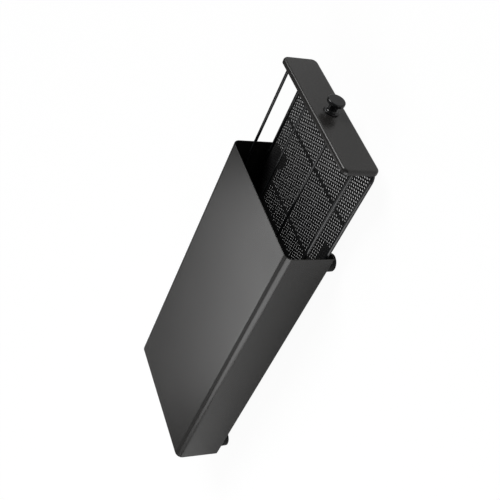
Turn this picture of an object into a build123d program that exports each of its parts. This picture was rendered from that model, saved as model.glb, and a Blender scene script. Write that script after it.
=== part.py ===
from build123d import *
import os
from math import floor, hypot

# Capsule holder: a folded sheet casing on rubber feet, with one drawer of sheet, wire and mesh.
# Millimetres. X runs to the right of someone who faces the front, Y to the back and Z up.
# The origin is on the counter, in the middle of the whole part with its drawer pulled out.

# Casing sheet
casing_width = 207.0
casing_depth = 441.0
casing_height = 66.5
casing_sheet = 1.2
casing_bend_radius = 10.0  # outside of the two upper bends
flange_bend_radius = 2.2  # outside of the two lower bends
flange_width = 28.0  # turned in under each side
back_edge_depth = 10.0  # turned forwards around the back
back_corner_ease = 1.0  # the back's lower corners are this much rounder than its bends

# Feet and their screws
foot_height = 11.0
foot_diameter = 22.4
foot_top_diameter = 23.4
foot_edge_radius = 1.2
foot_side_inset = 13.7  # from the casing's side to the foot's centre
foot_end_inset = 20.5  # from the casing's front or back to the foot's centre
foot_pocket_diameter = 10.0
foot_pocket_depth = 5.5
foot_screw_diameter = 4.0
foot_screw_head_diameter = 7.6
foot_screw_head_height = 2.4
foot_screw_tip = 2.0  # stands above the flange

# Runners inside the casing
runner_sheet = 1.0
runner_depth = 5.0
runner_bend_radius = 1.5
runner_end_gap = 3.5  # behind the closed front, and before the turned edge of the back

# Strap across the casing's lower flanges
strap_width = 32.0
strap_overlap = 20.0  # lies on each flange

# Drawer front
front_height = 47.5
front_edge_depth = 6.5
front_corner_radius = 8.0
front_bend_radius = 1.6
front_lift = 4.4  # from the casing's lower edge to the front's
drawer_sheet = 1.2

# Drawer wires and mesh
frame_wire = 5.0
frame_lift = 8.6  # from the casing's lower edge to the wire's centre
frame_corner_radius = 14.0
rail_wire = 4.0
rail_lift = 37.5  # from the casing's lower edge to the wire's centre
rail_corner_radius = 14.0
divider_wire = 3.0
post_wire = 4.0
floor_wire = 3.0
floor_wire_count = 4
mesh_thickness = 0.8
mesh_border = 4.0
mesh_long_pitch = 31.0  # diamonds lie across the drawer
mesh_short_pitch = 15.5
mesh_strand = 3.6

# Stop tabs on the drawer's back wire
tab_sheet = 1.2
tab_width = 14.0
tab_place_share = 0.5  # of the half width of the frame

# Knob and its screw
knob_projection = 17.0
knob_drop = 2.0  # below the middle of the front
knob_base_diameter = 19.2
knob_base_length = 2.0
knob_neck_diameter = 11.4
knob_neck_radius = 2.2
knob_cap_diameter = 22.2
knob_cap_length = 5.2
knob_cap_edge_radius = 1.8
knob_base_edge_radius = 0.8
knob_screw_diameter = 4.0
knob_screw_head_diameter = 8.0
knob_screw_head_height = 2.6
knob_screw_length = 10.0
screw_head_edge_radius = 0.8

# Travel
drawer_pull = 139.0  # how far the drawer stands out
drawer_hold = 111.0  # the whole stroke is this much shorter than the casing

# Fits
weld_gap = 0.1  # between welded wires
running_gap = 0.3  # under the frame wire in its runner
lift_gap = 0.5  # above the frame wire in its runner
side_gap = 1.1  # beside the frame wire in its runner
stop_gap = 0.3  # left at either end of the travel
pass_gap = 0.5  # between parts of the drawer and the casing that pass each other
front_side_gap = 3.5  # from the casing's outer side to the end of the front
rail_edge_gap = 0.3  # between the rail's ends and the front's turned edge
screw_gap = 0.1  # around a screw
cut_overrun = 1.0  # cuts run past the faces they open

# Heights
casing_base_z = foot_height
flange_top_z = casing_base_z + casing_sheet
front_centre_z = casing_base_z + front_lift + front_height / 2
knob_z = front_centre_z - knob_drop
frame_z = casing_base_z + frame_lift
rail_z = casing_base_z + rail_lift
mesh_bottom_z = frame_z - mesh_thickness / 2
floor_wire_z = mesh_bottom_z - weld_gap - floor_wire / 2
strap_top_z = floor_wire_z - floor_wire / 2 - pass_gap
tab_bottom_z = flange_top_z + casing_sheet + pass_gap
runner_bottom_z = frame_z - frame_wire / 2 - running_gap - runner_sheet
runner_height = 2 * runner_sheet + running_gap + frame_wire + lift_gap

# Places across
front_width = casing_width - 2 * front_side_gap
inner_half_width = casing_width / 2 - casing_sheet
frame_half_width = inner_half_width - runner_sheet - side_gap - frame_wire / 2
floor_half_width = frame_half_width - frame_wire / 2 - weld_gap
rail_half_width = front_width / 2 - drawer_sheet - rail_edge_gap - rail_wire / 2
divider_x = rail_half_width / 3
outer_post_x = rail_half_width - rail_corner_radius
tab_x = frame_half_width * tab_place_share
foot_x = casing_width / 2 - foot_side_inset

# Places along, with the drawer pulled out
drawer_stroke = casing_depth - drawer_hold
casing_front_y = (drawer_pull + knob_projection - casing_depth) / 2
casing_back_y = casing_front_y + casing_depth
drawer_front_y = casing_front_y - drawer_pull
wire_start_y = drawer_front_y + drawer_sheet + weld_gap
tab_back_y = casing_back_y - casing_sheet - stop_gap - drawer_pull
tab_front_y = tab_back_y - tab_sheet
frame_front_y = wire_start_y + frame_wire / 2
frame_back_y = tab_front_y - weld_gap - frame_wire / 2
strap_back_y = tab_front_y + drawer_pull - drawer_stroke - stop_gap
runner_front_y = casing_front_y + front_edge_depth + runner_end_gap
runner_back_y = casing_back_y - back_edge_depth - runner_end_gap
foot_front_y = casing_front_y + foot_end_inset
foot_back_y = casing_back_y - foot_end_inset


def rounded_section(width, height, upper_radius, lower_radius):
    """Rectangle about the origin whose upper and lower corners have their own radii."""
    section = Rectangle(width, height)
    section = fillet(section.vertices().group_by(Axis.Y)[-1], upper_radius)
    return fillet(section.vertices().group_by(Axis.Y)[0], lower_radius)


def upright(y, z):
    """Plane that faces the front at (0, y, z), with its own y along Z."""
    return Plane(origin=(0, y, z), x_dir=(1, 0, 0), z_dir=(0, -1, 0))


def straight_wire(start, end, diameter):
    """Round wire from one point to another."""
    path = Line(start, end)
    return sweep(Plane(origin=path @ 0, z_dir=path % 0) * Circle(diameter / 2), path=path)


def bent_wire(points, corner_radius, diameter, close=False):
    """Round wire of straight runs joined by bends."""
    path = FilletPolyline(*points, radius=corner_radius, close=close)
    return sweep(Plane(origin=path @ 0, z_dir=path % 0) * Circle(diameter / 2), path=path)


def pan_screw(diameter, length, head_diameter, head_height):
    """Pan head screw: its head rests on z = 0 and its shank goes up."""
    head = extrude(Circle(head_diameter / 2), amount=-head_height)
    head = fillet(head.edges().group_by(Axis.Z)[0], screw_head_edge_radius)
    return head + extrude(Circle(diameter / 2), amount=length)


def sheet_pan(width, height, depth, sheet, upper_radius, lower_radius, bend_radius):
    """Sheet with all its edges turned to the back: its face is at y = 0, its edges reach y = depth."""
    outside = rounded_section(width, height, upper_radius, lower_radius)
    block = extrude(Plane.XZ * outside, amount=-depth)
    block = fillet(block.edges().group_by(Axis.Y)[0], bend_radius)
    inside = rounded_section(width - 2 * sheet, height - 2 * sheet, upper_radius - sheet, lower_radius - sheet)
    hollow = extrude(Plane.XZ.offset(-sheet) * inside, amount=-depth)
    hollow = fillet(hollow.edges().group_by(Axis.Y)[0], bend_radius - sheet)
    return block - hollow


def foot_places():
    """Name and centre of each foot."""
    for end, y in (("front", foot_front_y), ("rear", foot_back_y)):
        for side, x in (("left", -foot_x), ("right", foot_x)):
            yield f"foot_{end}_{side}", x, y


def casing_shell():
    """Top, sides and lower flanges, folded from one sheet, with the holes for the foot screws."""
    section = rounded_section(casing_width, casing_height, casing_bend_radius, flange_bend_radius)
    section -= rounded_section(
        casing_width - 2 * casing_sheet,
        casing_height - 2 * casing_sheet,
        casing_bend_radius - casing_sheet,
        flange_bend_radius - casing_sheet,
    )
    slot_height = 2 * (casing_sheet + cut_overrun)
    section -= Pos(0, -casing_height / 2) * Rectangle(casing_width - 2 * flange_width, slot_height)
    shell = extrude(upright(casing_back_y, casing_base_z + casing_height / 2) * section, amount=casing_depth)
    for _, x, y in foot_places():
        shell -= Pos(x, y, casing_base_z) * Cylinder(foot_screw_diameter / 2 + screw_gap, slot_height)
    return shell


def casing_back():
    """Sheet pan that closes the rear, its edges turned forwards against the shell."""
    pan = sheet_pan(
        casing_width - 2 * casing_sheet,
        casing_height - 2 * casing_sheet,
        back_edge_depth,
        casing_sheet,
        casing_bend_radius,
        flange_bend_radius + back_corner_ease,
        flange_bend_radius,
    )
    return Pos(0, casing_back_y, casing_base_z + casing_height / 2) * Rot(0, 0, 180) * pan


def base_strap():
    """Strap on the two lower flanges, its back edge turned up to stop the drawer's tabs."""
    length = casing_width - 2 * flange_width + 2 * strap_overlap
    edge_height = strap_top_z - flange_top_z
    flat = Pos(0, strap_back_y - strap_width / 2, flange_top_z) * Box(
        length, strap_width, casing_sheet, align=(Align.CENTER, Align.CENTER, Align.MIN)
    )
    edge = Pos(0, strap_back_y, flange_top_z) * Box(
        length, casing_sheet, edge_height, align=(Align.CENTER, Align.MAX, Align.MIN)
    )
    strap = flat + edge
    corner = strap.edges().filter_by(Axis.X).group_by(Axis.Z)[0].sort_by(Axis.Y)[-1]
    return fillet(corner, casing_sheet)


def runner():
    """Right-hand channel that holds the frame wire from below and above."""
    section = Rectangle(runner_depth, runner_height, align=(Align.MAX, Align.MIN))
    section = fillet(section.vertices().group_by(Axis.X)[-1], runner_bend_radius)
    inside = Pos(-runner_sheet, runner_sheet) * Rectangle(
        runner_depth, runner_height - 2 * runner_sheet, align=(Align.MAX, Align.MIN)
    )
    inside = fillet(inside.vertices().group_by(Axis.X)[-1], runner_bend_radius - runner_sheet)
    place = upright(runner_back_y, runner_bottom_z) * Pos(inner_half_width, 0)
    return extrude(place * (section - inside), amount=runner_back_y - runner_front_y)


def foot():
    """Round rubber foot with a pocket for its screw's head."""
    body = Cone(
        foot_diameter / 2, foot_top_diameter / 2, foot_height, align=(Align.CENTER, Align.CENTER, Align.MIN)
    )
    body = fillet(body.edges().group_by(Axis.Z)[0], foot_edge_radius)
    pocket = Cylinder(
        foot_pocket_diameter / 2,
        foot_pocket_depth + cut_overrun,
        align=(Align.CENTER, Align.CENTER, Align.MIN),
    )
    hole = Cylinder(foot_screw_diameter / 2 + screw_gap, foot_height + cut_overrun)
    return body - Pos(0, 0, -cut_overrun) * pocket - Pos(0, 0, foot_height / 2) * hole


def foot_screws():
    """One screw up through each foot into the flange."""
    length = foot_height - foot_pocket_depth + casing_sheet + foot_screw_tip
    screw = pan_screw(foot_screw_diameter, length, foot_screw_head_diameter, foot_screw_head_height)
    return Compound(children=[Pos(x, y, foot_pocket_depth) * screw for _, x, y in foot_places()])


def drawer_front():
    """Sheet pan with rounded corners, pierced for the knob's screw."""
    pan = sheet_pan(
        front_width,
        front_height,
        front_edge_depth,
        drawer_sheet,
        front_corner_radius,
        front_corner_radius,
        front_bend_radius,
    )
    hole = Rot(90, 0, 0) * Cylinder(knob_screw_diameter / 2 + screw_gap, 2 * (drawer_sheet + cut_overrun))
    return Pos(0, drawer_front_y, front_centre_z) * (pan - Pos(0, 0, -knob_drop) * hole)


def lower_frame():
    """Closed wire loop around the floor."""
    corners = [
        (-frame_half_width, frame_front_y, frame_z),
        (frame_half_width, frame_front_y, frame_z),
        (frame_half_width, frame_back_y, frame_z),
        (-frame_half_width, frame_back_y, frame_z),
    ]
    return bent_wire(corners, frame_corner_radius, frame_wire, close=True)


def upper_rail():
    """Wire along both sides and the back, its ends on the inside of the front."""
    corners = [
        (-rail_half_width, wire_start_y, rail_z),
        (-rail_half_width, frame_back_y, rail_z),
        (rail_half_width, frame_back_y, rail_z),
        (rail_half_width, wire_start_y, rail_z),
    ]
    return bent_wire(corners, rail_corner_radius, rail_wire)


def divider(x):
    """Thin wire between two lanes, from the front to the back of the rail."""
    end_y = frame_back_y - rail_wire / 2 - weld_gap
    return straight_wire((x, wire_start_y, rail_z), (x, end_y, rail_z), divider_wire)


def rear_post(x):
    """Upright wire between the back of the frame and the back of the rail."""
    low_z = frame_z + frame_wire / 2 + weld_gap
    high_z = rail_z - rail_wire / 2 - weld_gap
    return straight_wire((x, frame_back_y, low_z), (x, frame_back_y, high_z), post_wire)


def cross_wire(y):
    """Wire across the drawer under its floor."""
    return straight_wire((-floor_half_width, y, floor_wire_z), (floor_half_width, y, floor_wire_z), floor_wire)


def diamond(x, y, length, width):
    """Diamond opening about a point, longest across the drawer."""
    corners = [(x - length / 2, y), (x, y - width / 2), (x + length / 2, y), (x, y + width / 2)]
    return Wire.make_polygon([Vector(*corner) for corner in corners])


def floor_mesh():
    """Diamond mesh with a plain border, cut from one sheet."""
    length_y = frame_back_y - frame_front_y - frame_wire - 2 * weld_gap
    corner_radius = frame_corner_radius - frame_wire / 2 - weld_gap
    outline = RectangleRounded(2 * floor_half_width, length_y, corner_radius)
    between_sides = mesh_long_pitch * mesh_short_pitch / hypot(mesh_long_pitch, mesh_short_pitch)
    open_share = 1 - mesh_strand / between_sides
    hole_length = open_share * mesh_long_pitch
    hole_width = open_share * mesh_short_pitch
    rows = floor((length_y / 2 - mesh_border - hole_width / 2) / (mesh_short_pitch / 2))
    openings = []
    for row in range(-rows, rows + 1):
        first_x = mesh_long_pitch / 2 if row % 2 else 0
        spare = floor_half_width - mesh_border - hole_length / 2 - first_x
        columns = floor(spare / mesh_long_pitch)
        places = [first_x + mesh_long_pitch * column for column in range(columns + 1)]
        for x in sorted({side * place for place in places for side in (-1, 1)}):
            openings.append(diamond(x, row * mesh_short_pitch / 2, hole_length, hole_width))
    sheet = Solid.extrude(Face(outline.wire(), openings), Vector(0, 0, mesh_thickness))
    return Pos(0, (frame_front_y + frame_back_y) / 2, mesh_bottom_z) * sheet


def stop_tab(x):
    """Tab behind the frame's back wire that meets the strap when the drawer is out."""
    height = frame_z + frame_wire / 2 - tab_bottom_z
    return Pos(x, tab_front_y, tab_bottom_z) * Box(
        tab_width, tab_sheet, height, align=(Align.CENTER, Align.MIN, Align.MIN)
    )


def knob():
    """Turned mushroom knob, bored from behind for its screw."""
    base = extrude(Circle(knob_base_diameter / 2), amount=knob_base_length)
    base = fillet(base.edges().group_by(Axis.Z)[-1], knob_base_edge_radius)
    cap = extrude(Circle(knob_cap_diameter / 2), amount=knob_cap_length)
    cap = fillet(cap.edges(), knob_cap_edge_radius)
    cap_place = knob_projection - knob_cap_length
    neck = extrude(Circle(knob_neck_diameter / 2), amount=cap_place + knob_cap_length / 2)
    body = base + neck + Pos(0, 0, cap_place) * cap
    roots = body.edges().filter_by(GeomType.CIRCLE)
    roots = roots.filter_by(lambda edge: abs(edge.radius - knob_neck_diameter / 2) < weld_gap)
    body = fillet(roots, knob_neck_radius)
    bore_depth = knob_screw_length - drawer_sheet + cut_overrun
    body -= extrude(Circle(knob_screw_diameter / 2 + screw_gap), amount=bore_depth)
    return Pos(0, drawer_front_y, knob_z) * Rot(90, 0, 0) * body


def knob_screw():
    """Screw from inside the front into the knob."""
    screw = pan_screw(knob_screw_diameter, knob_screw_length, knob_screw_head_diameter, knob_screw_head_height)
    return Pos(0, drawer_front_y + drawer_sheet, knob_z) * Rot(90, 0, 0) * screw


nodes = {
    "casing_shell": casing_shell(),
    "casing_back": casing_back(),
    "base_strap": base_strap(),
    "runner_right": runner(),
    "runner_left": mirror(runner(), about=Plane.YZ),
    "foot_screws": foot_screws(),
    "drawer_front": drawer_front(),
    "lower_frame": lower_frame(),
    "floor_mesh": floor_mesh(),
    "upper_rail": upper_rail(),
    "divider_left": divider(-divider_x),
    "divider_right": divider(divider_x),
    "stop_tab_left": stop_tab(-tab_x),
    "stop_tab_right": stop_tab(tab_x),
    "knob": knob(),
    "knob_screw": knob_screw(),
}
for name, x, y in foot_places():
    nodes[name] = Pos(x, y, 0) * foot()
for number, x in enumerate((-outer_post_x, -divider_x, divider_x, outer_post_x), start=1):
    nodes[f"rear_post_{number}"] = rear_post(x)
for number in range(1, floor_wire_count + 1):
    share = number / (floor_wire_count + 1)
    nodes[f"floor_wire_{number}"] = cross_wire(frame_front_y + share * (frame_back_y - frame_front_y))

os.makedirs("parts", exist_ok=True)
for name, shape in nodes.items():
    export_step(shape, f"parts/{name}.step")
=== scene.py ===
"""Looks of a coffee capsule holder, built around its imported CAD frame.

A folded sheet casing stands on rubber feet, and a wire drawer with an expanded metal floor slides out of
its front.
"""

import math

import bmesh
import bpy
from bpy.props import FloatProperty, FloatVectorProperty, IntProperty, PointerProperty
from mathutils import Matrix, Quaternion, Vector


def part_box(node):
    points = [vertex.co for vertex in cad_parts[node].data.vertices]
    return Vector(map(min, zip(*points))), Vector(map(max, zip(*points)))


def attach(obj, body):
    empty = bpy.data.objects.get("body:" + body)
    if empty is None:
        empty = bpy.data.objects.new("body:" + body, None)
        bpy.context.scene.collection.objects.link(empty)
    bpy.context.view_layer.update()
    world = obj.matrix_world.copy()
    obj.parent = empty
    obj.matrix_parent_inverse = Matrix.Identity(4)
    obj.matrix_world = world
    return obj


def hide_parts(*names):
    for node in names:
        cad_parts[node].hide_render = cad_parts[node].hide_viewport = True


bl_info = {
    "name": "Capsule Holder",
    "version": (1, 0, 0),
    "blender": (4, 5, 0),
    "location": "View3D > Sidebar > Capsule Holder",
    "description": "Sheet casing, wire drawer, knob and feet of a coffee capsule holder",
    "category": "Add Mesh",
}

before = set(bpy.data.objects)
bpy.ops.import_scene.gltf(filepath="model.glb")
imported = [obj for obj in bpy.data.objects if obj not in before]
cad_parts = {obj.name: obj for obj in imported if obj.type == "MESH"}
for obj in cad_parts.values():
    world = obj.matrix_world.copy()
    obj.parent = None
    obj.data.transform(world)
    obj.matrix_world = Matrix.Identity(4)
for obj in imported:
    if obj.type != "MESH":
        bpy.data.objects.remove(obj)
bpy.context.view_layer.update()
MM = 0.001

# Straight wires of the drawer: the piece, the nodes it stands for and the axis they run along
STRAIGHT_WIRES = (
    ("lane_wires", ("divider_left", "divider_right"), 1),
    ("uprights", tuple(f"rear_post_{number}" for number in range(1, 5)), 2),
    ("cross_wires", tuple(f"floor_wire_{number}" for number in range(1, 5)), 0),
)

# Steps across and round the curved parts
CASING_FOLD_STEPS = 16
CUT_EDGE_STEPS = 3
PAN_FOLD_STEPS = 6
PAN_CORNER_STEPS = 12
WIRE_BEND_STEPS = 14
WIRE_ROUND_STEPS = 24
WELD_FLANK_STEPS = 4
WELD_ROUND_STEPS = 20
KNOB_EDGE_STEPS = 8
KNOB_ROUND_STEPS = 72
FOOT_EDGE_STEPS = 6
FOOT_ROUND_STEPS = 48
SCREW_EDGE_STEPS = 5
SCREW_ROUND_STEPS = 40

# Stage: headings from +Y towards +X, heights, spins and angles in degrees, other lengths in metres
FLOOR_REACH = 12.0
SENSOR_MM = 36.0
KEY_ANGLE = 36
KEY_STRENGTH = 1.85
KEY_PLACE = {"heading": 146, "height": 36, "distance": 3.0}
SOFTBOXES = {
    "rear_softbox": {
        "place": {"heading": 38.4, "height": 33.6, "distance": 4.5, "spin": -6.5},
        "size": (1.4, 0.9),
        "brightness": 2.5,
    },
    "left_softbox": {
        "place": {"heading": -49, "height": 23, "distance": 2.0, "spin": 30},
        "size": (0.9, 1.8),
        "brightness": 2.9,
    },
    "rear_fill": {
        "place": {"heading": -2, "height": 50, "distance": 3.0},
        "size": (1.6, 1.2),
        "brightness": 0.5,
    },
}


def linear(code):
    """Linear RGBA of an sRGB hex colour."""
    levels = [int(code[place : place + 2], 16) / 255 for place in (1, 3, 5)]
    return [part / 12.92 if part <= 0.04045 else ((part + 0.055) / 1.055) ** 2.4 for part in levels] + [1.0]


def length(name, description, millimetres):
    """Length property whose default is given in millimetres."""
    return FloatProperty(name=name, description=description, default=millimetres * MM, min=0.0, unit="LENGTH")


def count(name, description, number):
    """Property for a whole number of things."""
    return IntProperty(name=name, description=description, default=number, min=1)


def colour(name, description, code):
    """Colour property whose default is an sRGB hex value."""
    return FloatVectorProperty(
        name=name, description=description, default=linear(code), size=4, min=0.0, max=1.0, subtype="COLOR"
    )


# Sizes and colours


class CasingSizes(bpy.types.PropertyGroup):
    """Sizes of the folded casing and the pan that closes its rear."""

    sheet: length("Sheet", "Thickness of the steel sheet", 1.2)
    bend: length("Top Bend", "Outside radius of the two upper folds", 10.0)
    flange_bend: length("Flange Bend", "Outside radius of the two lower folds", 2.2)
    flange: length("Flange", "Width of the edge turned in under each side", 28.0)
    back_corner: length("Back Corner", "Radius of the lower corners of the back", 3.2)
    edge: length("Cut Edge", "Rounding of the cut sheet edges under the coat", 0.4)


class DrawerSizes(bpy.types.PropertyGroup):
    """Sizes of the drawer's front, wires and mesh floor."""

    sheet: length("Sheet", "Thickness of the front's sheet", 1.2)
    corner: length("Front Corner", "Radius of the front's corners", 8.0)
    bend: length("Front Bend", "Outside radius of the fold round the front", 3.2)
    wire_bend: length("Wire Bend", "Radius of the frame's and the rail's bends", 14.0)
    weld: length("Weld", "How far a weld spreads round an end of the rail, and less on thinner wires", 0.8)
    strand: length("Mesh Strand", "Width of a strand of the expanded mesh", 1.6)
    strand_height: length("Mesh Height", "Thickness of a strand of the expanded mesh", 0.6)
    mesh_columns: count("Mesh Columns", "Half meshes across the drawer", 45)
    mesh_rows: count("Mesh Rows", "Whole meshes along the drawer", 98)


class KnobSizes(bpy.types.PropertyGroup):
    """Sizes of the turned knob and its screw."""

    base: length("Base Diameter", "Diameter of the foot of the knob", 19.2)
    base_length: length("Base Length", "Thickness of the foot of the knob", 2.0)
    base_edge: length("Base Edge", "Radius of the edge of the foot of the knob", 0.8)
    neck: length("Neck Diameter", "Diameter of the knob's neck", 11.4)
    neck_fillet: length("Neck Fillet", "Radius at both ends of the neck", 2.2)
    cap_length: length("Cap Length", "Thickness of the cap", 5.2)
    cap_edge: length("Cap Edge", "Radius of the cap's edges", 1.8)
    screw: length("Screw Diameter", "Diameter of the screw's shank", 4.0)
    head_height: length("Head Height", "Height of the screw's head", 2.6)


class FootSizes(bpy.types.PropertyGroup):
    """Sizes of the rubber feet and their screws."""

    base: length("Base Diameter", "Diameter where the foot stands", 22.4)
    edge: length("Edge", "Rounding round the foot's base", 1.2)
    pocket: length("Pocket Diameter", "Diameter of the pocket for the screw's head", 10.0)
    pocket_depth: length("Pocket Depth", "Depth of the pocket for the screw's head", 5.5)
    screw: length("Screw Diameter", "Diameter of the screw's shank", 4.0)
    head: length("Head Diameter", "Diameter of the screw's head", 7.6)
    head_height: length("Head Height", "Height of the screw's head", 2.4)


class FinishColours(bpy.types.PropertyGroup):
    """Colours of the finishes."""

    coat: colour("Sheet Coat", "Powder coat on the sheet parts", "#2b2a29")
    wire: colour("Wire Coat", "Powder coat on the wires", "#202123")
    mesh: colour("Mesh Coat", "Dip coat on the mesh floor", "#161617")
    rubber: colour("Rubber", "Moulded feet", "#141414")
    knob: colour("Knob", "Polished phenolic knob", "#1b1b1c")
    zinc: colour("Zinc", "Plated screws", "#b4b6b4")


class StageSettings(bpy.types.PropertyGroup):
    """Camera and light of the stage."""

    lens: FloatProperty(name="Lens", description="Focal length of the camera", default=65.978, unit="CAMERA")
    eye: FloatVectorProperty(
        name="Eye",
        description="Place of the camera",
        default=(-0.70683, -0.83585, 0.60331),
        subtype="TRANSLATION",
    )
    turn: FloatVectorProperty(
        name="Turn",
        description="Turn of the camera, which lies on its side",
        default=[math.radians(angle) for angle in (-0.69523, 62.49201, -132.56947)],
        subtype="EULER",
    )
    room: FloatProperty(
        name="Room", description="Brightness of the room round the object", default=0.1, min=0.0
    )


class HolderSettings(bpy.types.PropertyGroup):
    """All that a user would change."""

    casing: PointerProperty(type=CasingSizes)
    drawer: PointerProperty(type=DrawerSizes)
    knob: PointerProperty(type=KnobSizes)
    foot: PointerProperty(type=FootSizes)
    finish: PointerProperty(type=FinishColours)
    stage: PointerProperty(type=StageSettings)


# Nodes and materials


def add_node(tree, kind, sockets=None, **settings):
    """Node with its settings, each named or numbered socket filled with a value or a link."""
    node = tree.nodes.new(kind)
    for name, value in settings.items():
        setattr(node, name, value)
    for key, value in (sockets or {}).items():
        if isinstance(value, bpy.types.NodeSocket):
            tree.links.new(value, node.inputs[key])
        else:
            node.inputs[key].default_value = value
    return node


def new_material(name):
    """Empty material, its node tree, its surface shader and the object's own coordinates."""
    material = bpy.data.materials.new(name)
    material.use_nodes = True
    tree = material.node_tree
    surface = tree.nodes["Principled BSDF"]
    place = add_node(tree, "ShaderNodeTexCoord").outputs["Object"]
    return material, tree, surface, place


def tint(base, level):
    """Darker or lighter shade of a colour."""
    return [level * part for part in base[:3]] + [1.0]


def uneven(tree, surface, base, shade_by, shades, gloss_by, gloss, span=(0.3, 0.7)):
    """Let one pattern shift a surface between two shades of its colour, and one between two roughnesses."""
    # Sockets 6 and 7 of a mix node are its two colours.
    shade = add_node(
        tree,
        "ShaderNodeMix",
        {0: shade_by.outputs[0], 6: tint(base, shades[0]), 7: tint(base, shades[1])},
        data_type="RGBA",
    )
    rough = add_node(
        tree,
        "ShaderNodeMapRange",
        {
            "Value": gloss_by.outputs[0],
            "From Min": span[0],
            "From Max": span[1],
            "To Min": gloss[0],
            "To Max": gloss[1],
        },
    )
    tree.links.new(shade.outputs[2], surface.inputs["Base Color"])
    tree.links.new(rough.outputs[0], surface.inputs["Roughness"])


def baked_coat(name, base, gloss, peel_mm, relief_mm):
    """Powder coat or dip coat baked on steel."""
    # The coat melts to a satin skin: broad soft highlights, a faint orange peel and slightly uneven gloss.
    drift_mm = 70
    material, tree, surface, place = new_material(name)
    peel = add_node(tree, "ShaderNodeTexNoise", {"Vector": place, "Scale": 1 / (peel_mm * MM), "Detail": 2.0})
    drift = add_node(
        tree, "ShaderNodeTexNoise", {"Vector": place, "Scale": 1 / (drift_mm * MM), "Detail": 3.0}
    )
    uneven(tree, surface, base, shade_by=drift, shades=(0.94, 1.06), gloss_by=drift, gloss=gloss)
    relief = add_node(
        tree, "ShaderNodeBump", {"Height": peel.outputs[0], "Strength": 0.35, "Distance": relief_mm * MM}
    )
    tree.links.new(relief.outputs[0], surface.inputs["Normal"])
    surface.inputs["IOR"].default_value = 1.52
    return material


def moulded_rubber(name, base):
    """Rubber from a blasted mould."""
    # Dull and almost black, with a fine tooth that breaks up highlights and a faint grey bloom.
    # The tooth is drawn coarser than real, to show.
    tooth_mm, bloom_mm, relief_mm = 0.7, 9, 0.06
    material, tree, surface, place = new_material(name)
    tooth = add_node(
        tree, "ShaderNodeTexNoise", {"Vector": place, "Scale": 1 / (tooth_mm * MM), "Detail": 3.0}
    )
    bloom = add_node(
        tree, "ShaderNodeTexNoise", {"Vector": place, "Scale": 1 / (bloom_mm * MM), "Detail": 2.0}
    )
    uneven(tree, surface, base, shade_by=bloom, shades=(0.85, 1.2), gloss_by=bloom, gloss=(0.62, 0.8))
    relief = add_node(
        tree, "ShaderNodeBump", {"Height": tooth.outputs[0], "Strength": 0.5, "Distance": relief_mm * MM}
    )
    tree.links.new(relief.outputs[0], surface.inputs["Normal"])
    surface.inputs["IOR"].default_value = 1.5
    return material


def polished_phenolic(name, base):
    """Phenolic resin, turned and polished."""
    # Deep black with a clear shine that the faint marks of the polishing wheel soften a little.
    marks_mm, relief_mm = 1.5, 0.02
    material, tree, surface, place = new_material(name)
    marks = add_node(
        tree, "ShaderNodeTexNoise", {"Vector": place, "Scale": 1 / (marks_mm * MM), "Detail": 4.0}
    )
    uneven(tree, surface, base, shade_by=marks, shades=(0.9, 1.1), gloss_by=marks, gloss=(0.12, 0.18))
    relief = add_node(
        tree, "ShaderNodeBump", {"Height": marks.outputs[0], "Strength": 0.1, "Distance": relief_mm * MM}
    )
    tree.links.new(relief.outputs[0], surface.inputs["Normal"])
    surface.inputs["IOR"].default_value = 1.46
    return material


def zinc_plate(name, base):
    """Bright zinc plated on steel screws."""
    # A soft cool metal shine with small cloudy spangles. The spangles are drawn coarser than real, to show.
    spangle_mm, cloud_mm = 0.8, 2.5
    material, tree, surface, place = new_material(name)
    spangle = add_node(tree, "ShaderNodeTexVoronoi", {"Vector": place, "Scale": 1 / (spangle_mm * MM)})
    cloud = add_node(
        tree, "ShaderNodeTexNoise", {"Vector": place, "Scale": 1 / (cloud_mm * MM), "Detail": 2.0}
    )
    uneven(
        tree,
        surface,
        base,
        shade_by=cloud,
        shades=(0.85, 1.05),
        gloss_by=spangle,
        gloss=(0.26, 0.4),
        span=(0.0, 0.8),
    )
    surface.inputs["Metallic"].default_value = 1.0
    return material


FINISHES = {}


def finish(slot):
    """Material of a finish slot, made when it is first asked for."""
    tones = bpy.context.scene.capsule_holder.finish
    makers = {
        "powder_coat": lambda: baked_coat(
            "Powder-coated steel sheet", tones.coat, gloss=(0.23, 0.25), peel_mm=1.6, relief_mm=0.006
        ),
        "wire_coat": lambda: baked_coat(
            "Powder-coated steel wire", tones.wire, gloss=(0.24, 0.3), peel_mm=1.2, relief_mm=0.01
        ),
        "mesh_coat": lambda: baked_coat(
            "Dip-coated expanded steel", tones.mesh, gloss=(0.38, 0.48), peel_mm=1.0, relief_mm=0.02
        ),
        "foot_rubber": lambda: moulded_rubber("Moulded rubber", tones.rubber),
        "knob_gloss": lambda: polished_phenolic("Polished phenolic resin", tones.knob),
        "screw_steel": lambda: zinc_plate("Zinc-plated steel", tones.zinc),
    }
    if slot not in FINISHES:
        FINISHES[slot] = makers[slot]()
    return FINISHES[slot]


# Shapes


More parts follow.
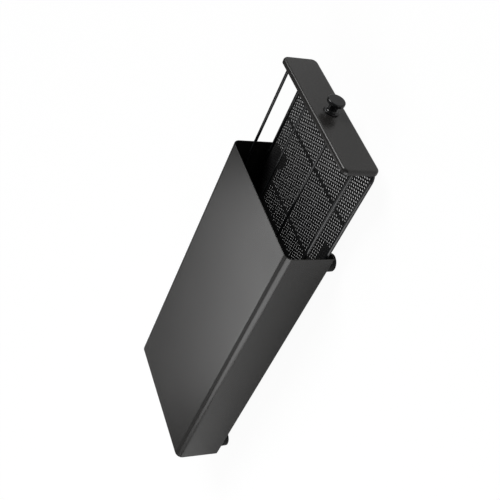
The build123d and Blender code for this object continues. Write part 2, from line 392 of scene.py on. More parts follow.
def rounded_path(corners, steps, closed=False):
    """2D points through (across, up, radius) corners, each rounded by an arc.

    A close point before and after each arc keeps the arc's smooth shading off the flats.
    """
    close_share = 0.12
    points = []
    for index, (across, up, radius) in enumerate(corners):
        here = Vector((across, up))
        if radius == 0 or (not closed and index in (0, len(corners) - 1)):
            points.append(here)
            continue
        back = (Vector(corners[index - 1][:2]) - here).normalized()
        ahead = (Vector(corners[(index + 1) % len(corners)][:2]) - here).normalized()
        half = back.angle(ahead) / 2
        reach = radius / math.tan(half)
        centre = here + (back + ahead).normalized() * radius / math.sin(half)
        start = here + back * reach - centre
        end = here + ahead * reach - centre
        turn = math.atan2(start.x * end.y - start.y * end.x, start.dot(end))
        points.append(here + back * (reach + close_share * radius))
        points += [centre + Matrix.Rotation(turn * step / steps, 2) @ start for step in range(steps + 1)]
        points.append(here + ahead * (reach + close_share * radius))
    return points


def smooth_faces(mesh, degrees=40):
    """Shade a mesh smooth, with edges sharper than an angle kept."""
    mesh.polygons.foreach_set("use_smooth", [True] * len(mesh.polygons))
    mesh.set_sharp_from_angle(angle=math.radians(degrees))


def new_piece(name, mesh):
    """Object at the origin that holds a mesh."""
    piece = bpy.data.objects.new(name, mesh)
    bpy.context.scene.collection.objects.link(piece)
    return piece


def shaped_mesh(name, shape):
    """Mesh of a finished shape, with its faces turned outwards."""
    bmesh.ops.recalc_face_normals(shape, faces=shape.faces)
    mesh = bpy.data.meshes.new(name)
    shape.to_mesh(mesh)
    shape.free()
    return mesh


def loft(name, rings, loop=False, caps=None):
    """Closed piece through rings of points, looped, or capped by a face or a strip between two walls."""
    shape = bmesh.new()
    rows = [[shape.verts.new(point) for point in ring] for ring in rings]
    for row, following in zip(rows, rows[1:] + rows[:1] if loop else rows[1:]):
        for index in range(len(row)):
            shape.faces.new((row[index - 1], row[index], following[index], following[index - 1]))
    for row in (rows[0], rows[-1]):
        last = len(row) - 1
        if caps == "face":
            shape.faces.new(row)
        if caps == "strip":
            for index in range(len(row) // 2 - 1):
                shape.faces.new((row[index], row[index + 1], row[last - 1 - index], row[last - index]))
    mesh = shaped_mesh(name, shape)
    smooth_faces(mesh)
    return new_piece(name, mesh)


def upright(across, up, along):
    """Place of a point of a piece that is turned about the Z axis."""
    return (across, up, along)


def turned(name, profile, steps, place=upright, loop=False):
    """Turned piece: place maps (across, up, along the axis) of each point of a (radius, height) profile."""
    angles = [2 * math.pi * step / steps for step in range(steps)]
    rings = [
        [place(radius * math.cos(angle), radius * math.sin(angle), height) for angle in angles]
        for radius, height in profile
    ]
    return loft(name, rings, loop, None if loop else "face")


def sheet_pan(name, node, facing, sheet, upper, lower, bend, edge):
    """Pan pressed from sheet in a node's box: a flat face that looks along Y, with its edges turned back."""
    low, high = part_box(node)
    half_x, half_z = (high.x - low.x) / 2, (high.z - low.z) / 2
    centre = (low + high) / 2
    depth = high.y - low.y
    face_y = high.y if facing > 0 else low.y
    flat = 2 * upper
    section = [
        (flat, 0, 0),
        (0, 0, bend),
        (0, depth, edge),
        (sheet, depth, edge),
        (sheet, sheet, bend - sheet),
        (flat, sheet, 0),
    ]
    rings = []
    for inset, back in rounded_path(section, PAN_FOLD_STEPS):
        right, top = half_x - inset, half_z - inset
        over, under = max(upper - inset, edge), max(lower - inset, edge)
        corners = [(-right, -top, under), (right, -top, under), (right, top, over), (-right, top, over)]
        outline = rounded_path(corners, PAN_CORNER_STEPS, closed=True)
        rings.append([(centre.x + x, face_y - facing * back, centre.z + z) for x, z in outline])
    return loft(name, rings, caps="face")


def new_tree(name, inputs):
    """Geometry Nodes tree with geometry in and out and named inputs, and the sockets that its inputs give."""
    tree = bpy.data.node_groups.new(name, "GeometryNodeTree")
    tree.interface.new_socket("Geometry", in_out="INPUT", socket_type="NodeSocketGeometry")
    for title, kind in inputs.items():
        tree.interface.new_socket(title, in_out="INPUT", socket_type=kind)
    tree.interface.new_socket("Geometry", in_out="OUTPUT", socket_type="NodeSocketGeometry")
    return tree, tree.nodes.new("NodeGroupInput").outputs


def close_tree(tree, given, geometry):
    """End a tree: real geometry with its material."""
    real = add_node(tree, "GeometryNodeRealizeInstances", {"Geometry": geometry})
    coated = add_node(
        tree, "GeometryNodeSetMaterial", {"Geometry": real.outputs[0], "Material": given["Material"]}
    )
    add_node(tree, "NodeGroupOutput", {"Geometry": coated.outputs[0]})
    return tree


def grow(piece, tree, values):
    """Run a tree on a piece and keep what it gives as the piece's plain mesh."""
    modifier = piece.modifiers.new(tree.name, "NODES")
    modifier.node_group = tree
    for socket in tree.interface.items_tree:
        if socket.in_out == "INPUT" and socket.name in values:
            modifier[socket.identifier] = values[socket.name]
    seen = piece.evaluated_get(bpy.context.evaluated_depsgraph_get())
    mesh = bpy.data.meshes.new_from_object(seen)
    spent = piece.data
    piece.modifiers.clear()
    piece.data = mesh
    bpy.data.meshes.remove(spent)
    mesh.name = piece.name
    return piece


def wire_tree():
    """Tree that runs round wire along a piece's edges, with rounded bends and closed ends."""
    if "Bent wire" in bpy.data.node_groups:
        return bpy.data.node_groups["Bent wire"]
    tree, given = new_tree(
        "Bent wire",
        {
            "Diameter": "NodeSocketFloat",
            "Bend Radius": "NodeSocketFloat",
            "Bend Steps": "NodeSocketInt",
            "Round Steps": "NodeSocketInt",
            "Material": "NodeSocketMaterial",
        },
    )
    path = add_node(tree, "GeometryNodeMeshToCurve", {"Mesh": given["Geometry"]})
    bent = add_node(
        tree,
        "GeometryNodeFilletCurve",
        {"Curve": path.outputs[0], "Radius": given["Bend Radius"], "Count": given["Bend Steps"]},
        mode="POLY",
    )
    radius = add_node(tree, "ShaderNodeMath", {0: given["Diameter"], 1: 0.5}, operation="MULTIPLY")
    section = add_node(
        tree,
        "GeometryNodeCurvePrimitiveCircle",
        {"Resolution": given["Round Steps"], "Radius": radius.outputs[0]},
    )
    wire = add_node(
        tree,
        "GeometryNodeCurveToMesh",
        {"Curve": bent.outputs[0], "Profile Curve": section.outputs[0], "Fill Caps": True},
    )
    return close_tree(tree, given, wire.outputs[0])


def wires(name, paths, diameter, bend=0.0, closed=False):
    """Piece of round wires along lists of points."""
    points, edges = [], []
    for path in paths:
        first = len(points)
        points += path
        edges += [(first + step, first + step + 1) for step in range(len(path) - 1)]
        if closed:
            edges.append((first + len(path) - 1, first))
    mesh = bpy.data.meshes.new(name)
    mesh.from_pydata(points, edges, [])
    values = {
        "Diameter": diameter,
        "Bend Radius": bend,
        "Bend Steps": WIRE_BEND_STEPS,
        "Round Steps": WIRE_ROUND_STEPS,
        "Material": finish("wire_coat"),
    }
    piece = grow(new_piece(name, mesh), wire_tree(), values)
    smooth_faces(piece.data)
    return piece


def straight_run(node, axis):
    """Ends and diameter of a straight wire from its node's box, along one axis."""
    low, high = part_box(node)
    start = (low + high) / 2
    end = start.copy()
    start[axis], end[axis] = low[axis], high[axis]
    return start, end, high[axis - 1] - low[axis - 1]


def copies_tree():
    """Tree that sets copies of a piece at the corners of a rectangle."""
    if "Copies at corners" in bpy.data.node_groups:
        return bpy.data.node_groups["Copies at corners"]
    tree, given = new_tree(
        "Copies at corners",
        {
            "Spacing X": "NodeSocketFloat",
            "Spacing Y": "NodeSocketFloat",
            "Centre": "NodeSocketVector",
            "Material": "NodeSocketMaterial",
        },
    )
    corners = add_node(
        tree,
        "GeometryNodeMeshGrid",
        {"Size X": given["Spacing X"], "Size Y": given["Spacing Y"], "Vertices X": 2, "Vertices Y": 2},
    )
    placed = add_node(
        tree, "GeometryNodeTransform", {"Geometry": corners.outputs[0], "Translation": given["Centre"]}
    )
    copies = add_node(
        tree, "GeometryNodeInstanceOnPoints", {"Points": placed.outputs[0], "Instance": given["Geometry"]}
    )
    return close_tree(tree, given, copies.outputs[0])


def weld_tree():
    """Tree that sets a flared collar of weld at each point, turned to its facing and scaled to its size."""
    # A collar's size is its wire's radius. Its narrow end is just inside the wire, and its flank is hollow.
    neck, hollowed = 0.96, 0.1
    tree, given = new_tree("Weld collars", {"Flare": "NodeSocketFloat", "Material": "NodeSocketMaterial"})
    size = add_node(tree, "GeometryNodeInputNamedAttribute", {"Name": "size"}, data_type="FLOAT")
    facing = add_node(tree, "GeometryNodeInputNamedAttribute", {"Name": "facing"}, data_type="FLOAT_VECTOR")
    foot = add_node(tree, "ShaderNodeMath", {0: given["Flare"], 1: 1.0}, operation="ADD")
    collar = add_node(
        tree,
        "GeometryNodeMeshCone",
        {
            "Vertices": WELD_ROUND_STEPS,
            "Side Segments": WELD_FLANK_STEPS,
            "Radius Top": neck,
            "Radius Bottom": foot.outputs[0],
            "Depth": given["Flare"],
        },
        fill_type="NONE",
    )
    place = add_node(tree, "GeometryNodeInputPosition")
    parts = add_node(tree, "ShaderNodeSeparateXYZ", {0: place.outputs[0]})
    share = add_node(tree, "ShaderNodeMath", {0: parts.outputs[2], 1: given["Flare"]}, operation="DIVIDE")
    bow = add_node(tree, "ShaderNodeMath", {0: share.outputs[0], 1: math.pi}, operation="MULTIPLY")
    arch = add_node(tree, "ShaderNodeMath", {0: bow.outputs[0]}, operation="SINE")
    pull = add_node(tree, "ShaderNodeMath", {0: arch.outputs[0], 1: -hollowed}, operation="MULTIPLY")
    flat = add_node(
        tree, "ShaderNodeVectorMath", {0: place.outputs[0], 1: (1.0, 1.0, 0.0)}, operation="MULTIPLY"
    )
    inward = add_node(
        tree, "ShaderNodeVectorMath", {0: flat.outputs[0], "Scale": pull.outputs[0]}, operation="SCALE"
    )
    hollow = add_node(
        tree, "GeometryNodeSetPosition", {"Geometry": collar.outputs[0], "Offset": inward.outputs[0]}
    )
    turn = add_node(tree, "FunctionNodeAlignRotationToVector", {"Vector": facing.outputs[0]}, axis="Z")
    welds = add_node(
        tree,
        "GeometryNodeInstanceOnPoints",
        {
            "Points": given["Geometry"],
            "Instance": hollow.outputs[0],
            "Rotation": turn.outputs[0],
            "Scale": size.outputs[0],
        },
    )
    return close_tree(tree, given, welds.outputs[0])


def mesh_tree():
    """Tree that repeats one knot of expanded metal over a floor with rounded corners."""
    slack, join = 0.05 * MM, 0.01 * MM
    tree, given = new_tree(
        "Expanded metal",
        {
            "Half Size": "NodeSocketVector",
            "Corner Radius": "NodeSocketFloat",
            "Columns": "NodeSocketInt",
            "Rows": "NodeSocketInt",
            "Centre": "NodeSocketVector",
            "Material": "NodeSocketMaterial",
        },
    )
    size = add_node(tree, "ShaderNodeVectorMath", {0: given["Half Size"], "Scale": 2.0}, operation="SCALE")
    sides = add_node(tree, "ShaderNodeSeparateXYZ", {0: size.outputs[0]})
    across = add_node(tree, "ShaderNodeMath", {0: given["Columns"], 1: 1.0}, operation="ADD")
    along = add_node(tree, "ShaderNodeMath", {0: given["Rows"], 1: 2.0, 2: 1.0}, operation="MULTIPLY_ADD")
    lattice = add_node(
        tree,
        "GeometryNodeMeshGrid",
        {
            "Size X": sides.outputs[0],
            "Size Y": sides.outputs[1],
            "Vertices X": across.outputs[0],
            "Vertices Y": along.outputs[0],
        },
    )
    # Each column has an odd count of points, so every other index is a chequered pattern.
    index = add_node(tree, "GeometryNodeInputIndex")
    odd = add_node(tree, "ShaderNodeMath", {0: index.outputs[0], 1: 2.0}, operation="FLOORED_MODULO")
    # A point lies outside a rounded corner where it is further than the radius from the corner's centre.
    place = add_node(tree, "GeometryNodeInputPosition")
    away = add_node(tree, "ShaderNodeVectorMath", {0: place.outputs[0]}, operation="ABSOLUTE")
    inner = add_node(
        tree, "ShaderNodeVectorMath", {0: given["Half Size"], 1: given["Corner Radius"]}, operation="SUBTRACT"
    )
    past = add_node(
        tree, "ShaderNodeVectorMath", {0: away.outputs[0], 1: inner.outputs[0]}, operation="SUBTRACT"
    )
    level = add_node(
        tree, "ShaderNodeVectorMath", {0: past.outputs[0], 1: (1.0, 1.0, 0.0)}, operation="MULTIPLY"
    )
    over = add_node(
        tree, "ShaderNodeVectorMath", {0: level.outputs[0], 1: (0.0, 0.0, 0.0)}, operation="MAXIMUM"
    )
    reach = add_node(tree, "ShaderNodeVectorMath", {0: over.outputs[0]}, operation="LENGTH")
    limit = add_node(tree, "ShaderNodeMath", {0: given["Corner Radius"], 1: slack}, operation="ADD")
    outside = add_node(
        tree, "ShaderNodeMath", {0: reach.outputs["Value"], 1: limit.outputs[0]}, operation="GREATER_THAN"
    )
    spare = add_node(tree, "ShaderNodeMath", {0: odd.outputs[0], 1: outside.outputs[0]}, operation="MAXIMUM")
    knots = add_node(
        tree, "GeometryNodeDeleteGeometry", {"Geometry": lattice.outputs[0], "Selection": spare.outputs[0]}
    )
    placed = add_node(
        tree, "GeometryNodeTransform", {"Geometry": knots.outputs[0], "Translation": given["Centre"]}
    )
    copies = add_node(
        tree, "GeometryNodeInstanceOnPoints", {"Points": placed.outputs[0], "Instance": given["Geometry"]}
    )
    real = add_node(tree, "GeometryNodeRealizeInstances", {"Geometry": copies.outputs[0]})
    joined = add_node(tree, "GeometryNodeMergeByDistance", {"Geometry": real.outputs[0], "Distance": join})
    return close_tree(tree, given, joined.outputs[0])


def mesh_knot(name, half_x, half_y, strand, height):
    """One knot of expanded metal: four slanting half strands that meet in a flat bond."""
    tilt_degrees = 22
    run = Vector((half_x, half_y)) / 2
    side = Vector((-run.y, run.x)).normalized() * strand / 2
    bond_x = strand / 2 / math.sin(math.atan2(half_y, half_x))
    bond_y = strand / 2 / math.cos(math.atan2(half_y, half_x))
    slant = math.tan(math.radians(tilt_degrees))
    outline = [(bond_x, 0, 0)]
    for sign_x, sign_y, bond in (
        (1, 1, (0, bond_y)),
        (-1, 1, (-bond_x, 0)),
        (-1, -1, (0, -bond_y)),
        (1, -1, None),
    ):
        end = Vector((run.x * sign_x, run.y * sign_y))
        lean = Vector((side.x * sign_x, side.y * sign_y))
        first, second = (end - lean, end + lean) if sign_x * sign_y > 0 else (end + lean, end - lean)
        outline += [(point.x, point.y, slant * (point.y - end.y)) for point in (first, second)]
        if bond:
            outline.append((bond[0], bond[1], slant * bond[1]))
    # The outline has a point of the bond and then the two points of a strand's end, four times over.
    corner_count = len(outline)
    bonds = range(0, corner_count, 3)
    shape = bmesh.new()
    tops = [shape.verts.new((x, y, z + height / 2)) for x, y, z in outline]
    bottoms = [shape.verts.new((x, y, z - height / 2)) for x, y, z in outline]
    for level in (tops, bottoms):
        shape.faces.new([level[first] for first in bonds])
        for first in bonds:
            shape.faces.new(
                (level[first], level[first + 1], level[first + 2], level[(first + 3) % corner_count])
            )
    for place in range(corner_count):
        # The strands' ends stay open, because they join the next knots.
        if place % 3 != 1:
            after = (place + 1) % corner_count
            shape.faces.new((tops[place], tops[after], bottoms[after], bottoms[place]))
    return new_piece(name, shaped_mesh(name, shape))


def pan_screw(name, shank, length_up, head, head_height):
    """Pan head screw with a cross recess: its head rests on z = 0 and its shank goes up."""
    crown_edge, seat_edge, tip_edge = 0.8 * MM, 0.15 * MM, 0.5 * MM
    profile = [
        (0.3 * head, -head_height, 0),
        (head, -head_height, crown_edge),
        (head, 0, seat_edge),
        (shank, 0, 0),
        (shank, length_up, tip_edge),
        (0.2 * shank, length_up, 0),
    ]
    screw = turned(name, rounded_path(profile, SCREW_EDGE_STEPS), SCREW_ROUND_STEPS)
    arm, arm_half = 0.62 * head, 0.13 * head
    mouth, bottom, taper = -1.2 * head_height, -0.45 * head_height, 0.7
    cutter = bmesh.new()
    for half_x, half_y in ((arm, arm_half), (arm_half, arm)):
        corners = [(x * half_x, y * half_y) for x, y in ((-1, -1), (1, -1), (1, 1), (-1, 1))]
        outer = [cutter.verts.new((x, y, mouth)) for x, y in corners]
        inner = [cutter.verts.new((taper * x, taper * y, bottom)) for x, y in corners]
        cutter.faces.new(outer)
        cutter.faces.new(inner)
        for side in range(4):
            cutter.faces.new((outer[side - 1], outer[side], inner[side], inner[side - 1]))
    mesh = shaped_mesh(name + "_recess", cutter)
    recess = new_piece(mesh.name, mesh)
    cut = screw.modifiers.new("Recess", "BOOLEAN")
    cut.operation = "DIFFERENCE"
    cut.solver = "EXACT"
    cut.use_self = True
    cut.object = recess
    cut_mesh = bpy.data.meshes.new_from_object(screw.evaluated_get(bpy.context.evaluated_depsgraph_get()))
    screw.modifiers.clear()
    screw.data = cut_mesh
    bpy.data.objects.remove(recess)
    smooth_faces(screw.data)
    return screw


def hand_over(piece, body, slot, *nodes):
    """Give a piece its finish, the body it rides on and the nodes it stands for."""
    piece.data.materials.clear()
    piece.data.materials.append(finish(slot))
    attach(piece, body)
    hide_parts(*nodes)


# Stage


def seen_share(tree, shares):
    """Share of a plain white that rays of each named kind see in place of the lit surface."""
    ray = add_node(tree, "ShaderNodeLightPath")
    seen = 0.0
    for name, share in shares.items():
        part = add_node(tree, "ShaderNodeMath", {0: ray.outputs[name], 1: share}, operation="MULTIPLY")
        seen = add_node(tree, "ShaderNodeMath", {0: part.outputs[0], 1: seen}, operation="MAXIMUM").outputs[0]
    return seen


def white_floor():
    """Seamless white paper: it looks white, and keeps a faint shadow."""
    material = bpy.data.materials.new("Seamless white paper")
    material.use_nodes = True
    tree = material.node_tree
    tree.nodes.remove(tree.nodes["Principled BSDF"])
    lit = add_node(tree, "ShaderNodeBsdfDiffuse", {"Color": linear("#f4f4f4")})
    white = add_node(tree, "ShaderNodeEmission", {"Strength": 1.05})
    share = seen_share(tree, {"Is Camera Ray": 0.9, "Is Transmission Ray": 0.9, "Is Glossy Ray": 0.1})
    paper = add_node(tree, "ShaderNodeMixShader", {0: share, 1: lit.outputs[0], 2: white.outputs[0]})
    tree.links.new(paper.outputs[0], tree.nodes["Material Output"].inputs["Surface"])
    return material


def studio_room(brightness):
    """World: white where the camera looks, and a dim even room for the object."""
    world = bpy.data.worlds.new("studio_room")
    world.use_nodes = True
    tree = world.node_tree
    share = seen_share(tree, {"Is Camera Ray": 1.0, "Is Transmission Ray": 1.0, "Is Glossy Ray": 0.0})
    room = tree.nodes["Background"]
    room.inputs["Color"].default_value = (1.0, 1.0, 1.0, 1.0)
    room.inputs["Strength"].default_value = brightness
    white = add_node(tree, "ShaderNodeBackground", {"Color": (1.0, 1.0, 1.0, 1.0), "Strength": 1.0})
    view = add_node(tree, "ShaderNodeMixShader", {0: share, 1: room.outputs[0], 2: white.outputs[0]})
    tree.links.new(view.outputs[0], tree.nodes["World Output"].inputs["Surface"])
    return world


def aim(light, heading, height, distance, spin=0):
    """Hang a light at a heading and a height, facing the object and spun about its own axis."""
    turn, lift = math.radians(heading), math.radians(height)
    way = Vector((math.sin(turn) * math.cos(lift), math.cos(turn) * math.cos(lift), math.sin(lift)))
    roll = Quaternion((0, 0, 1), math.radians(spin))
    lamp = bpy.data.objects.new(light.name, light)
    lamp.location = way * distance
    lamp.rotation_euler = (way.to_track_quat("Z", "Y") @ roll).to_euler()
    bpy.context.scene.collection.objects.link(lamp)


# Operators


class HOLDER_OT_casing(bpy.types.Operator):
    """Fold the casing from one sheet"""

    bl_idname = "capsule_holder.casing"
    bl_label = "Casing"

    def execute(self, context):
        sizes = context.scene.capsule_holder.casing
        low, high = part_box("casing_shell")

        def section(inset):
            tip = high.x - sizes.flange
            x, base, top = high.x - inset, low.z + inset, high.z - inset
            upper, lower = sizes.bend - inset, sizes.flange_bend - inset
            corners = [(-tip, base, 0), (-x, base, lower), (-x, top, upper)]
            mirrored = [(-across, up, radius) for across, up, radius in reversed(corners)]
            return rounded_path(corners + mirrored, CASING_FOLD_STEPS)

        outer, inner = section(0), section(sizes.sheet)
        ends = []
        for step in range(CUT_EDGE_STEPS + 1):
            angle = math.pi / 2 * step / CUT_EDGE_STEPS
            ends.append((sizes.edge * (1 - math.sin(angle)), sizes.edge * (1 - math.cos(angle))))
        # One more ring close behind the rounding keeps its smooth shading off the flat sheet.
        ends.append((0, 1.5 * sizes.edge))
        stations = [(thin, low.y + back) for thin, back in ends]
        stations += [(thin, high.y - back) for thin, back in reversed(ends)]
        rings = []
        for thin, y in stations:
            share = thin / sizes.sheet
            wall_out = [outside.lerp(inside, share) for outside, inside in zip(outer, inner)]
            wall_in = [inside.lerp(outside, share) for outside, inside in zip(outer, inner)]
            rings.append([(point.x, y, point.y) for point in wall_out + wall_in[::-1]])
        hand_over(loft("casing", rings, caps="strip"), "casing", "powder_coat", "casing_shell")
        return {"FINISHED"}


class HOLDER_OT_back(bpy.types.Operator):
    """Press the pan that closes the casing's rear"""

    bl_idname = "capsule_holder.back"
    bl_label = "Casing Back"

    def execute(self, context):
        sizes = context.scene.capsule_holder.casing
        pan = sheet_pan(
            "back_pan",
            "casing_back",
            facing=1,
            sheet=sizes.sheet,
            upper=sizes.bend,
            lower=sizes.back_corner,
            bend=sizes.flange_bend,
            edge=sizes.edge,
        )
        hand_over(pan, "casing", "powder_coat", "casing_back")
        return {"FINISHED"}


class HOLDER_OT_front(bpy.types.Operator):
    """Press the drawer's front"""

    bl_idname = "capsule_holder.front"
    bl_label = "Drawer Front"

    def execute(self, context):
        sizes = context.scene.capsule_holder.drawer
        pan = sheet_pan(
            "front_pan",
            "drawer_front",
            facing=-1,
            sheet=sizes.sheet,
            upper=sizes.corner,
            lower=sizes.corner,
            bend=sizes.bend,
            edge=context.scene.capsule_holder.casing.edge,
        )
        hand_over(pan, "drawer", "powder_coat", "drawer_front")
        return {"FINISHED"}


class HOLDER_OT_wires(bpy.types.Operator):
    """Bend the drawer's frame, rail, lane wires, uprights and cross wires"""

    bl_idname = "capsule_holder.wires"
    bl_label = "Drawer Wires"

    def execute(self, context):
        bend = context.scene.capsule_holder.drawer.wire_bend
        low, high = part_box("lower_frame")
        wire = high.z - low.z
        x, z = high.x - wire / 2, (low.z + high.z) / 2
        near, far = low.y + wire / 2, high.y - wire / 2
        loop = [(-x, near, z), (x, near, z), (x, far, z), (-x, far, z)]
        hand_over(wires("frame_wire", [loop], wire, bend, closed=True), "drawer", "wire_coat", "lower_frame")

        low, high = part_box("upper_rail")
        wire = high.z - low.z
        x, z, far = high.x - wire / 2, (low.z + high.z) / 2, high.y - wire / 2
        rail = [(-x, low.y, z), (-x, far, z), (x, far, z), (x, low.y, z)]
        hand_over(wires("rail_wire", [rail], wire, bend), "drawer", "wire_coat", "upper_rail")

        for name, nodes, axis in STRAIGHT_WIRES:
            runs = [straight_run(node, axis) for node in nodes]
            paths = [(start, end) for start, end, _ in runs]
            diameter = runs[0][2]
            hand_over(wires(name, paths, diameter), "drawer", "wire_coat", *nodes)
        return {"FINISHED"}


class HOLDER_OT_welds(bpy.types.Operator):
    """Set a collar of weld where each wire meets what carries it"""

    bl_idname = "capsule_holder.welds"
    bl_label = "Welds"

    def execute(self, context):
        sizes = context.scene.capsule_holder.drawer
        points, facings, radii = [], [], []
        rail_low, rail_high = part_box("upper_rail")
        rail_radius = (rail_high.z - rail_low.z) / 2
        rail_z = (rail_high.z + rail_low.z) / 2
        for side in (-1, 1):
            points.append(Vector((side * (rail_high.x - rail_radius), rail_low.y, rail_z)))
            facings.append(Vector((0, 1, 0)))
            radii.append(rail_radius)
        for _, nodes, axis in STRAIGHT_WIRES:
            for node in nodes:
                start, end, wire = straight_run(node, axis)
                points += [start, end]
                facings += [(end - start).normalized(), (start - end).normalized()]
                radii += [wire / 2, wire / 2]
        mesh = bpy.data.meshes.new("weld_collars")
        mesh.from_pydata(points, [], [])
        mesh.attributes.new("size", "FLOAT", "POINT").data.foreach_set("value", radii)
        turns = [part for facing in facings for part in facing]
        mesh.attributes.new("facing", "FLOAT_VECTOR", "POINT").data.foreach_set("vector", turns)
        values = {"Flare": sizes.weld / rail_radius, "Material": finish("wire_coat")}
        piece = grow(new_piece("weld_collars", mesh), weld_tree(), values)
        smooth_faces(piece.data, degrees=60)
        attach(piece, "drawer")
        return {"FINISHED"}


class HOLDER_OT_mesh_floor(bpy.types.Operator):
    """Stretch the expanded metal floor inside the frame wire"""

    bl_idname = "capsule_holder.mesh_floor"
    bl_label = "Mesh Floor"

    def execute(self, context):
        sizes = context.scene.capsule_holder.drawer
        low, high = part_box("lower_frame")
        wire = high.z - low.z
        half_x, half_y = (high.x - low.x - wire) / 2, (high.y - low.y - wire) / 2
        step_x, step_y = 2 * half_x / sizes.mesh_columns, half_y / sizes.mesh_rows
        knot = mesh_knot("mesh_floor", step_x, step_y, sizes.strand, sizes.strand_height)
        floor_low, floor_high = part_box("floor_mesh")
        values = {
            "Half Size": (half_x, half_y, 0.0),
            "Corner Radius": sizes.wire_bend,
            "Columns": sizes.mesh_columns,
            "Rows": sizes.mesh_rows,
            "Centre": (0.0, (low.y + high.y) / 2, (floor_low.z + floor_high.z) / 2),
            "Material": finish("mesh_coat"),
        }
        hand_over(grow(knot, mesh_tree(), values), "drawer", "mesh_coat", "floor_mesh")
        return {"FINISHED"}


class HOLDER_OT_knob(bpy.types.Operator):
    """Turn the knob and drive its screw from inside the front"""

    bl_idname = "capsule_holder.knob"
    bl_label = "Knob"

    def execute(self, context):
        sizes = context.scene.capsule_holder.knob
        low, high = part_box("knob")
        centre_x, centre_z, back = (low.x + high.x) / 2, (low.z + high.z) / 2, high.y
        reach, cap = high.y - low.y, (high.x - low.x) / 2
        under = reach - sizes.cap_length
        profile = [
            (sizes.base / 2, 0, 0),
            (sizes.base / 2, sizes.base_length, sizes.base_edge),
            (sizes.neck / 2, sizes.base_length, sizes.neck_fillet),
            (sizes.neck / 2, under, sizes.neck_fillet),
            (cap, under, sizes.cap_edge),
            (cap, reach, sizes.cap_edge),
            (cap / 2, reach, 0),
        ]

        def place(across, up, out):
            return (centre_x + across, back - out, centre_z + up)

        knob = turned("turned_knob", rounded_path(profile, KNOB_EDGE_STEPS), KNOB_ROUND_STEPS, place)
        hand_over(knob, "drawer", "knob_gloss", "knob")

        low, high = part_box("knob_screw")
        head = (high.x - low.x) / 2
        shank_up = high.y - low.y - sizes.head_height
        screw = pan_screw("front_screw", sizes.screw / 2, shank_up, head, sizes.head_height)
        seat = Vector((centre_x, high.y - sizes.head_height, centre_z))
        screw.data.transform(Matrix.Translation(seat) @ Matrix.Rotation(math.radians(90), 4, "X"))
        hand_over(screw, "drawer", "screw_steel", "knob_screw")
        return {"FINISHED"}


class HOLDER_OT_feet(bpy.types.Operator):
    """Mould the four feet and drive their screws"""

    bl_idname = "capsule_holder.feet"
    bl_label = "Feet"

    def execute(self, context):
        sizes = context.scene.capsule_holder.foot
        names = [f"foot_{end}_{side}" for end in ("front", "rear") for side in ("left", "right")]
        boxes = [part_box(name) for name in names]
        middles = [(low + high) / 2 for low, high in boxes]
        height, top = boxes[0][1].z, (boxes[0][1].x - boxes[0][0].x) / 2
        clearance, bore_edge, top_edge = 0.1 * MM, 0.2 * MM, 0.3 * MM
        pocket_corner, pocket_edge = 0.4 * MM, 0.5 * MM
        bore = sizes.screw / 2 + clearance
        profile = [
            (top, height, top_edge),
            (sizes.base / 2, 0, sizes.edge),
            (sizes.pocket / 2, 0, pocket_edge),
            (sizes.pocket / 2, sizes.pocket_depth, pocket_corner),
            (bore, sizes.pocket_depth, bore_edge),
            (bore, height, bore_edge),
        ]
        outline = rounded_path(profile, FOOT_EDGE_STEPS, closed=True)
        foot = turned("rubber_feet", outline, FOOT_ROUND_STEPS, loop=True)
        values = {
            "Spacing X": middles[1].x - middles[0].x,
            "Spacing Y": middles[2].y - middles[0].y,
            "Centre": (0.0, (middles[0].y + middles[2].y) / 2, 0.0),
            "Material": finish("foot_rubber"),
        }
        hand_over(grow(foot, copies_tree(), values), "casing", "foot_rubber", *names)

        low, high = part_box("foot_screws")
        shank_up = high.z - low.z - sizes.head_height
        screw = pan_screw("feet_screws", sizes.screw / 2, shank_up, sizes.head / 2, sizes.head_height)
        values["Centre"] = (0.0, values["Centre"][1], low.z + sizes.head_height)
        values["Material"] = finish("screw_steel")
        hand_over(grow(screw, copies_tree(), values), "casing", "screw_steel", "foot_screws")
        return {"FINISHED"}


class HOLDER_OT_plain_parts(bpy.types.Operator):
    """Coat the runners, the base strap and the stop tabs, which keep their own shapes"""

    bl_idname = "capsule_holder.plain_parts"
    bl_label = "Runners, Strap and Tabs"

    def execute(self, context):
        for name in ("runner_left", "runner_right", "base_strap", "stop_tab_left", "stop_tab_right"):
            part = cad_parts[name]
            part.data.materials.clear()
            part.data.materials.append(finish("powder_coat"))
        return {"FINISHED"}


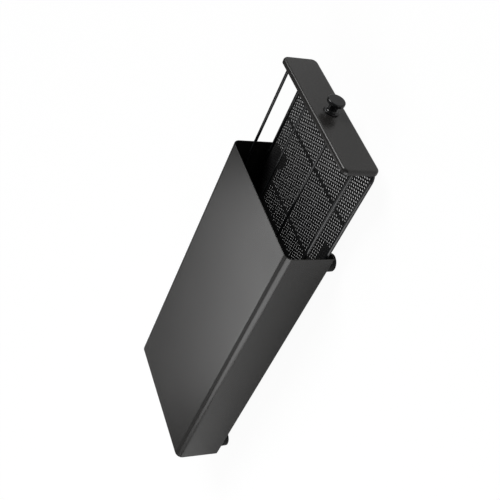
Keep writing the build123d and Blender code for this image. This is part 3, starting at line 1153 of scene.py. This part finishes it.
class HOLDER_OT_stage(bpy.types.Operator):
    """Lay the floor, hang the lights and set the camera"""

    bl_idname = "capsule_holder.stage"
    bl_label = "Stage"

    def execute(self, context):
        scene = context.scene
        settings = scene.capsule_holder.stage
        scene.view_settings.view_transform = "Standard"

        floor_mesh = bpy.data.meshes.new("floor")
        corners = [(x * FLOOR_REACH, y * FLOOR_REACH, 0) for x, y in ((-1, -1), (1, -1), (1, 1), (-1, 1))]
        floor_mesh.from_pydata(corners, [], [(0, 1, 2, 3)])
        floor = new_piece("floor", floor_mesh)
        floor.data.materials.append(white_floor())

        scene.world = studio_room(settings.room)
        key = bpy.data.lights.new("key_light", "SUN")
        key.angle = math.radians(KEY_ANGLE)
        key.energy = KEY_STRENGTH
        aim(key, **KEY_PLACE)
        for name, values in SOFTBOXES.items():
            width, tall = values["size"]
            softbox = bpy.data.lights.new(name, "AREA")
            softbox.shape = "RECTANGLE"
            softbox.size = width
            softbox.size_y = tall
            # This power gives the face of the softbox its brightness, whatever its size.
            softbox.energy = values["brightness"] * math.pi * width * tall
            aim(softbox, **values["place"])

        lens = bpy.data.cameras.new("camera")
        lens.lens = settings.lens
        lens.sensor_width = SENSOR_MM
        camera = bpy.data.objects.new("camera", lens)
        camera.location = settings.eye
        camera.rotation_euler = settings.turn
        scene.collection.objects.link(camera)
        scene.camera = camera
        return {"FINISHED"}


class VIEW3D_PT_capsule_holder(bpy.types.Panel):
    """Sizes, colours and builders of the holder"""

    bl_label = "Capsule Holder"
    bl_space_type = "VIEW_3D"
    bl_region_type = "UI"
    bl_category = "Capsule Holder"

    def draw(self, context):
        for title in HolderSettings.__annotations__:
            group = getattr(context.scene.capsule_holder, title)
            box = self.layout.box()
            for name in group.__annotations__:
                box.prop(group, name)
        for builder in BUILDERS:
            self.layout.operator(builder.bl_idname)


BUILDERS = (
    HOLDER_OT_casing,
    HOLDER_OT_back,
    HOLDER_OT_front,
    HOLDER_OT_wires,
    HOLDER_OT_welds,
    HOLDER_OT_mesh_floor,
    HOLDER_OT_knob,
    HOLDER_OT_feet,
    HOLDER_OT_plain_parts,
    HOLDER_OT_stage,
)
GROUPS = (CasingSizes, DrawerSizes, KnobSizes, FootSizes, FinishColours, StageSettings, HolderSettings)
CLASSES = GROUPS + BUILDERS + (VIEW3D_PT_capsule_holder,)


def register():
    """Add the classes and the scene's settings."""
    for item in CLASSES:
        bpy.utils.register_class(item)
    bpy.types.Scene.capsule_holder = PointerProperty(type=HolderSettings)


def unregister():
    """Take the settings and the classes away."""
    del bpy.types.Scene.capsule_holder
    for item in reversed(CLASSES):
        bpy.utils.unregister_class(item)


def main():
    register()
    bpy.ops.capsule_holder.casing()
    bpy.ops.capsule_holder.back()
    bpy.ops.capsule_holder.front()
    bpy.ops.capsule_holder.wires()
    bpy.ops.capsule_holder.welds()
    bpy.ops.capsule_holder.mesh_floor()
    bpy.ops.capsule_holder.knob()
    bpy.ops.capsule_holder.feet()
    bpy.ops.capsule_holder.plain_parts()
    bpy.ops.capsule_holder.stage()


if __name__ == "__main__":
    main()
